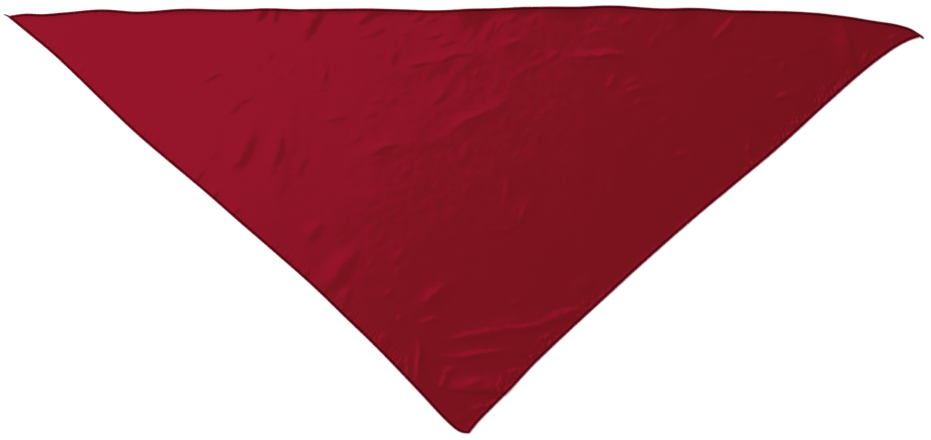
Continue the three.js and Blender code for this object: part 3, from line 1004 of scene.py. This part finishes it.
# Back of the cloth: the same crimson without the glow
SATIN_BACK = SatinFinish("polyester_satin_back", "6a1018", "ff0058", 0.55, 0.3)
# Cloth rolled over in the hem, the same satin with its red painted lighter than the face as a painted
# highlight for the light the roll catches: it gives the line of thread a brighter red rim
ROLLED_SATIN_PAINTED_LIGHTER = SatinFinish("polyester_satin_rolled_edge_painted_highlight", "98122a", "ff0058", 0.4, 0.5)
HEM_THREAD = ThreadFinish()


def mesh_piece(
    name: str, points: np.ndarray, faces: list[tuple[int, ...]], smooth: bool = True
) -> bpy.types.Object:
    """Makes an object from points and faces.

    Args:
        name: the piece's name.
        points: one row for each vertex.
        faces: tuples of vertex numbers.
        smooth: whether the faces are shaded as one smooth surface.

    Returns:
        The new object, linked into the scene.
    """
    mesh = bpy.data.meshes.new(name)
    mesh.from_pydata(points.tolist(), [], faces)
    mesh.polygons.foreach_set("use_smooth", [smooth] * len(mesh.polygons))
    mesh.update()
    return add_object(name, mesh)


@dataclass
class SatinPanel:
    """The one cut of satin, a thin closed sheet with its face up.

    The face has the number of lattice rows that rows gives, and the underside takes one lattice
    place in under_step each way.
    """

    cut: ClothCut
    relief: Relief
    thickness: float = 0.3 * MM
    rows: int = 272
    under_step: int = 2

    def lattice(self) -> tuple[np.ndarray, list[np.ndarray]]:
        """Lays out the lattice, whose rows run parallel to the long edge.

        Returns:
            Corner weights, one row for each place, and the place numbers in each lattice row.
        """
        weights, lines = [], []
        total = 0
        for row in range(self.rows + 1):
            to_point = row / self.rows
            t = np.linspace(0, 1, 2 * (self.rows - row) + 1)
            to_left, to_right = (1 - to_point) * (1 - t), (1 - to_point) * t
            weights.append(np.column_stack([to_left, np.full(len(t), to_point), to_right]))
            lines.append(np.arange(total, total + len(t)))
            total += len(t)
        return np.concatenate(weights), lines

    def sheet_faces(self, lines: list[np.ndarray]) -> list[tuple[int, ...]]:
        """Faces between lattice rows, each strip closed by a triangle at either end."""
        faces = []
        for here, below in zip(lines, lines[1:]):
            faces.append((here[0], below[0], here[1]))
            for k in range(1, len(here) - 2):
                faces.append((here[k], below[k - 1], below[k], here[k + 1]))
            faces.append((here[-2], below[-1], here[-1]))
        return faces

    def lowest_near(self, height: np.ndarray, lines: list[np.ndarray]) -> np.ndarray:
        """Lowest height at or next to each place, so that coarse faces stay under fine ones."""
        beside = height.copy()
        for line in lines:
            beside[line[1:]] = np.minimum(beside[line[1:]], height[line[:-1]])
            beside[line[:-1]] = np.minimum(beside[line[:-1]], height[line[1:]])
        lowest = beside.copy()
        for here, below in zip(lines, lines[1:]):
            for own, other in ((here[1:-1], below), (here[[0, -1]], below[[0, -1]])):
                lowest[own] = np.minimum(lowest[own], beside[other])
                lowest[other] = np.minimum(lowest[other], beside[own])
        return lowest

    def rim(self, lines: list[np.ndarray]) -> list[int]:
        """Place numbers round the rim, counter-clockwise from the left tip."""
        down_left = [line[0] for line in lines[:-1]]
        up_right = [line[-1] for line in reversed(lines[1:])]
        back_along = list(reversed(lines[0][1:]))
        return down_left + up_right + back_along

    def build(self) -> bpy.types.Object:
        """Builds the sheet, whose underside is coarser and takes the second material.

        Returns:
            The satin panel, which carries its places along and in from the hems.
        """
        weights, lines = self.lattice()
        places = self.cut.panel_places(weights)
        height = self.relief.panel_lift(weights, places)
        under_lines = [line[:: self.under_step] for line in lines[:: self.under_step]]
        kept = np.concatenate(under_lines)
        number = np.zeros(len(places), dtype=int)
        number[kept] = len(places) + np.arange(len(kept))
        top = np.column_stack([places, height + self.thickness])
        under = np.column_stack([places, self.lowest_near(height, lines)])[kept]
        top_faces = self.sheet_faces(lines)
        under_faces = [tuple(number[list(reversed(face))]) for face in self.sheet_faces(under_lines)]
        rim = np.array(self.rim(lines))
        walls = []
        for k in range(0, len(rim), self.under_step):
            upper = np.take(rim, range(k, k + self.under_step + 1), mode="wrap")
            walls.append((*reversed(upper), number[upper[0]], number[upper[-1]]))
        points = np.concatenate([top, under])
        piece = mesh_piece("satin_panel", points, top_faces + under_faces + walls)
        slots = [0] * len(top_faces) + [1] * len(under_faces) + [0] * len(walls)
        piece.data.polygons.foreach_set("material_index", slots)
        tucks = piece.data.attributes.new(TUCKS, "FLOAT_VECTOR", "POINT")
        all_weights = np.concatenate([weights, weights[kept]])
        tucks.data.foreach_set("vector", self.cut.tucks(all_weights).ravel())
        return piece

    def dress(self, piece: bpy.types.Object) -> None:
        """Gives the sheet its lustrous face and its duller underside.

        Args:
            piece: the satin panel.
        """
        piece.data.materials.append(SATIN_FACE.material())
        piece.data.materials.append(SATIN_BACK.material())
        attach(piece, "root")
        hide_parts("cloth_panel")


@dataclass
class HemRoute:
    """Where a hem or a thread runs: its middle, the way out of the cloth, and its share of width."""

    middle: np.ndarray
    outward: np.ndarray
    share: np.ndarray

    def at_steps(self, step: float) -> "HemRoute":
        """The same route with its points at even steps."""
        lengths = run_lengths(self.middle)
        at = np.linspace(0, lengths[-1], round(lengths[-1] / step) + 1)
        middle = np.column_stack([np.interp(at, lengths, column) for column in self.middle.T])
        outward = np.column_stack([np.interp(at, lengths, column) for column in self.outward.T])
        return HemRoute(middle, unit(outward), np.interp(at, lengths, self.share))


@dataclass
class Strands:
    """Round strands gathered into one mesh."""

    points: list[np.ndarray] = field(default_factory=list)
    faces: list[tuple[int, ...]] = field(default_factory=list)
    count: int = 0

    def add(
        self,
        middle: np.ndarray,
        aside: np.ndarray,
        half_width: np.ndarray,
        half_height: np.ndarray,
        sides: int,
    ) -> None:
        """Skins one closed strand.

        Args:
            middle: points along the strand's middle.
            aside: the way across the strand at each point, at a length of 1.
            half_width: half the width that way, for each point.
            half_height: half the height square to it, for each point.
            sides: number of sides.
        """
        along = unit(np.gradient(middle, axis=0))
        up = unit(np.cross(along, aside))
        angles = np.arange(sides) * 2 * math.pi / sides
        across = (half_width[:, None] * aside)[:, None] * np.cos(angles)[:, None]
        rings = middle[:, None] + across + (half_height[:, None] * up)[:, None] * np.sin(angles)[:, None]
        here = (np.arange(len(middle) - 1)[:, None] * sides + np.arange(sides)).ravel() + self.count
        beside = (np.arange(len(middle) - 1)[:, None] * sides + (np.arange(sides) + 1) % sides).ravel()
        beside = beside + self.count
        quads = np.column_stack([here, beside, beside + sides, here + sides])
        last = self.count + (len(middle) - 1) * sides
        self.faces.extend(map(tuple, quads.tolist()))
        self.faces.append(tuple(range(self.count + sides - 1, self.count - 1, -1)))
        self.faces.append(tuple(range(last, last + sides)))
        self.points.append(rings.reshape(-1, 3))
        self.count += len(middle) * sides

    def add_thread(self, middle: np.ndarray, aside: np.ndarray, radius: float, sides: int) -> None:
        """Skins one thread of an even radius."""
        half = np.full(len(middle), radius)
        self.add(middle, aside, half, half, sides)


@dataclass
class Hem:
    """The overlocked hem of one edge: a rolled edge wrapped in thread, and a line of stitches.

    The roll's middle runs stand_off outside the panel's edge, and the wraps sit wrap_inset further
    in, so that the roll shows as a rim outside them. A tail narrows to tail_share of the hem's
    width and ends in two loose threads.
    """

    name: str
    node: str
    edge: PanelEdge
    relief: Relief
    cloth_thickness: float
    corner_turn: float
    start: HemEnd
    end: HemEnd
    tail_share: float = 1.0
    tail_length: float = 5 * MM
    tail_bend: float = 0.0
    tail_steps: int = 30
    corner_steps: int = 8
    samples: int = 2400
    stand_off: float = 0.7 * MM
    half_width: float = 1.1 * MM
    half_height: float = 0.45 * MM
    body_step: float = 1.6 * MM
    body_sides: int = 8
    thread_radius: float = 0.25 * MM
    wrap_inset: float = 0.38 * MM
    wrap_half_width: float = 0.95 * MM
    wrap_pitch: float = 0.75 * MM
    wrap_steps: int = 9
    wrap_sides: int = 5
    stitch_length: float = 2.4 * MM
    stitch_steps: int = 6
    stitch_depth: float = 0.7 * MM
    stitch_radius: float = 0.36 * MM
    stitch_dip: float = 0.3
    stitch_sides: int = 4
    loose_length: float = 1.5 * MM
    loose_turn: float = math.radians(40)
    loose_steps: int = 12
    loose_lead: int = 4

    def raised(self, plan: np.ndarray, run: np.ndarray, extra: np.ndarray) -> np.ndarray:
        """Plan places with their height over the surface, puckers and extra height in it."""
        height = self.relief.lift(plan) + self.edge.gather.pucker_at(run, np.zeros(len(run)))
        return np.column_stack([plan, height + extra])

    def tail(self, start: np.ndarray, away: np.ndarray) -> np.ndarray:
        """Plan route of the thread tail, from its free end to where the hem starts."""
        elbow = start + away * self.tail_length / 2
        end = elbow + turned(away, np.array([self.tail_bend]))[0] * self.tail_length / 2
        t = np.linspace(0, 1, self.tail_steps, endpoint=False)[:, None]
        return (1 - t) ** 2 * end + 2 * t * (1 - t) * elbow + t**2 * start

    def bend_round(self, corner: np.ndarray, outward: np.ndarray, turn: float) -> np.ndarray:
        """Plan route that goes part of the way round a corner, without its first point."""
        return corner + self.stand_off * turned(outward, np.linspace(0, turn, self.corner_steps + 1)[1:])

    def route(self) -> HemRoute:
        """Works out where the hem runs, from its first end to its last.

        Returns:
            The hem's route.
        """
        at = np.linspace(0, 1, self.samples)
        outward = right_of(self.edge.heading(at))
        edge_points = self.edge.points(at)
        plan = edge_points + self.stand_off * outward
        before, after = np.empty((0, 2)), np.empty((0, 2))
        if self.start is HemEnd.TAIL:
            before = self.tail(plan[0], unit(plan[0] - plan[1]))
        if self.start is HemEnd.ROUND:
            before = self.bend_round(edge_points[0], outward[0], -self.corner_turn)[::-1]
        if self.end is HemEnd.ROUND:
            after = self.bend_round(edge_points[-1], outward[-1], self.corner_turn)
        plan = np.concatenate([before, plan, after])
        run_before = np.zeros(len(before))
        run_after = np.full(len(after), self.edge.length)
        run = np.concatenate([run_before, at * self.edge.length, run_after])
        share = np.ones(len(plan))
        if self.start is HemEnd.TAIL:
            share[: len(before)] = np.linspace(self.tail_share, 1, len(before))
        middle = self.raised(plan, run, self.half_height * share + self.thread_radius)
        sideways = right_of(unit(np.gradient(plan, axis=0)))
        return HemRoute(middle, np.column_stack([sideways, np.zeros(len(plan))]), share)

    def stitch_route(self) -> HemRoute:
        """Where the line of stitches runs on the cloth's face beside the roll."""
        at = np.linspace(0, 1, self.samples)
        outward = right_of(self.edge.heading(at))
        plan = self.edge.points(at) - self.stitch_depth * outward
        climb = self.edge.gather.rise_at(np.full(len(at), self.stitch_depth)) + self.cloth_thickness
        middle = self.raised(plan, at * self.edge.length, climb)
        return HemRoute(middle, np.column_stack([outward, np.zeros(len(at))]), np.ones(len(at)))

    def add_wraps(self, strands: Strands, route: HemRoute) -> None:
        """Winds the thread round the roll."""
        line = route.at_steps(self.wrap_pitch / self.wrap_steps)
        phase = 2 * math.pi * np.arange(len(line.share)) / self.wrap_steps
        across = np.cos(phase)[:, None] * line.outward
        upright = np.column_stack([np.zeros((len(phase), 2)), np.sin(phase)])
        width = (self.wrap_half_width * line.share)[:, None]
        inset = (self.wrap_inset * line.share)[:, None]
        height = (self.half_height * line.share)[:, None]
        middle = line.middle + width * across - inset * line.outward + height * upright
        strands.add_thread(middle, across + upright, self.thread_radius, self.wrap_sides)

    def add_stitches(self, strands: Strands) -> None:
        """Lays the line of stitches, each one dipping into the cloth at its ends."""
        line = self.stitch_route().at_steps(self.stitch_length / self.stitch_steps)
        arch = np.abs(np.sin(math.pi * np.arange(len(line.share)) / self.stitch_steps))
        line.middle[:, 2] += self.stitch_radius * (arch - self.stitch_dip)
        strands.add_thread(line.middle, line.outward, self.stitch_radius, self.stitch_sides)

    def add_loose_end(self, strands: Strands, route: HemRoute, side: int) -> None:
        """Lets one thread run free of the tail and curl to one side, down to the surface."""
        away = unit(route.middle[0, :2] - route.middle[self.loose_lead, :2])
        t = np.linspace(0, 1, self.loose_steps)
        directions = turned(away, side * self.loose_turn * t)
        steps = directions * self.loose_length / (self.loose_steps - 1)
        plan = route.middle[0, :2] + np.cumsum(steps, axis=0) - steps
        height = self.thread_radius + (route.middle[0, 2] - self.thread_radius) * (1 - t) ** 2
        aside = np.column_stack([right_of(directions), np.zeros(len(t))])
        strands.add_thread(np.column_stack([plan, height]), aside, self.thread_radius, self.wrap_sides)

    def build(self) -> bpy.types.Object:
        """Builds the hem's mesh.

        Returns:
            The hem.
        """
        strands = Strands()
        route = self.route()
        body = route.at_steps(self.body_step)
        strands.add(
            body.middle,
            body.outward,
            self.half_width * body.share,
            self.half_height * body.share,
            self.body_sides,
        )
        roll_faces = len(strands.faces)
        self.add_wraps(strands, route)
        self.add_stitches(strands)
        if self.start is HemEnd.TAIL:
            self.add_loose_end(strands, route, -1)
            self.add_loose_end(strands, route, 1)
        piece = mesh_piece(self.name, np.concatenate(strands.points), strands.faces)
        slots = [1] * roll_faces + [0] * (len(strands.faces) - roll_faces)
        piece.data.polygons.foreach_set("material_index", slots)
        return piece

    def dress(
        self, piece: bpy.types.Object, thread: bpy.types.Material, satin: bpy.types.Material
    ) -> None:
        """Gives the hem its thread, and the satin to the roll inside it.

        Args:
            piece: the hem.
            thread: the hem thread's material.
            satin: the material of the rolled edge, the satin painted lighter as a painted highlight.
        """
        piece.data.materials.append(thread)
        piece.data.materials.append(satin)
        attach(piece, "root")
        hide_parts(self.node)


def make_hems(cut: ClothCut, relief: Relief, cloth_thickness: float) -> list[Hem]:
    """Lists the three hems, with how each of them ends.

    Args:
        cut: the cut of the cloth.
        relief: the cloth's relief.
        cloth_thickness: thickness of the satin.

    Returns:
        The left, right and long hems.
    """
    near = 0.001
    into = cut.left_edge.heading(np.array([1 - near, 1.0]))[-1]
    out = cut.right_edge.heading(np.array([0.0, near]))[0]
    turn = math.acos(float(into @ out)) / 2
    shared: dict[str, object] = {
        "relief": relief,
        "cloth_thickness": cloth_thickness,
        "corner_turn": turn,
    }
    left = Hem(
        name="left_hem",
        node="left_edge_hem",
        edge=cut.left_edge,
        start=HemEnd.TAIL,
        end=HemEnd.ROUND,
        tail_share=0.45,
        tail_length=7 * MM,
        tail_bend=math.radians(26),
        **shared,
    )
    right = Hem(
        name="right_hem",
        node="right_edge_hem",
        edge=cut.right_edge,
        start=HemEnd.ROUND,
        end=HemEnd.BUTT,
        **shared,
    )
    long = Hem(
        name="long_hem",
        node="long_edge_hem",
        edge=cut.long_edge,
        start=HemEnd.TAIL,
        end=HemEnd.BUTT,
        tail_bend=math.radians(-14),
        **shared,
    )
    return [left, right, long]


@dataclass
class Studio:
    """The pale floor, the soft lights and the camera straight above the cloth."""

    cut: ClothCut
    lens: float = 70.0
    sensor: float = 36.0
    view_width: float = 1014.5 * MM
    centre_along: float = 505.15 * MM
    centre_below: float = 212.8 * MM
    roll: float = math.radians(1.168)
    floor_side: float = 14.0
    floor_drop: float = 0.2 * MM
    world_strength: float = 0.5
    key_height: float = 2.6
    key_length: float = 5.0
    key_width: float = 3.5
    key_turn: float = math.radians(49)
    key_edge: float = 0.2
    key_watts: float = 137.0

    def camera(self) -> None:
        """Hangs the camera above the middle of the photograph's frame, looking straight down."""
        data = bpy.data.cameras.new("camera")
        data.lens = self.lens
        data.sensor_width = self.sensor
        camera = add_object("camera", data)
        height = self.lens / self.sensor * self.view_width
        x, y = self.cut.origin + np.array([self.centre_along, -self.centre_below])
        camera.location = (x, y, height)
        camera.rotation_euler = (0, 0, self.roll)
        bpy.context.scene.camera = camera

    def floor(self) -> bpy.types.Object:
        """Lays the pale floor just under the cloth."""
        half = self.floor_side / 2
        points = np.array([(-half, -half, 0), (half, -half, 0), (half, half, 0), (-half, half, 0)])
        points[:, 2] = -self.floor_drop
        floor = mesh_piece("floor", points, [(0, 1, 2, 3)], smooth=False)
        material, _, shader = new_material("matt_white_board", roughness=0.9, reflectance=0.1)
        shader.inputs["Base Color"].default_value = linear("ffffff")
        floor.data.materials.append(material)
        return floor

    def lights(self) -> None:
        """Sets the even surrounding light and the softbox over the upper left of the cloth."""
        world = bpy.data.worlds.new("studio")
        world.use_nodes = True
        background = world.node_tree.nodes["Background"]
        background.inputs["Color"].default_value = (1, 1, 1, 1)
        background.inputs["Strength"].default_value = self.world_strength
        bpy.context.scene.world = world
        data = bpy.data.lights.new("softbox", "AREA")
        data.shape = "RECTANGLE"
        data.size = self.key_length
        data.size_y = self.key_width
        data.energy = self.key_watts
        softbox = add_object("softbox", data)
        away = np.array([-math.sin(self.key_turn), math.cos(self.key_turn)])
        x, y = away * (self.key_edge + self.key_width / 2)
        softbox.location = (x, y, self.key_height)
        softbox.rotation_euler = (0, 0, self.key_turn)

    def build(self) -> bpy.types.Object:
        """Sets the whole studio up.

        Returns:
            The floor.
        """
        self.camera()
        self.lights()
        bpy.context.scene.view_settings.view_transform = "Standard"
        return self.floor()


def main() -> None:
    """Builds the studio and the neckerchief in order, and reports each piece."""
    cut = ClothCut()
    floor = Studio(cut).build()
    relief = Relief(cut)
    panel = SatinPanel(cut, relief)
    satin = panel.build()
    panel.dress(satin)
    log.info("%s: %d faces", satin.name, len(satin.data.polygons))
    # The rolled edge's satin is painted lighter than the face, a painted highlight
    thread, rolled_satin_painted_lighter = HEM_THREAD.material(), ROLLED_SATIN_PAINTED_LIGHTER.material()
    for hem in make_hems(cut, relief, panel.thickness):
        piece = hem.build()
        hem.dress(piece, thread, rolled_satin_painted_lighter)
        log.info("%s: %d faces", piece.name, len(piece.data.polygons))


if __name__ == "__main__":
    main()
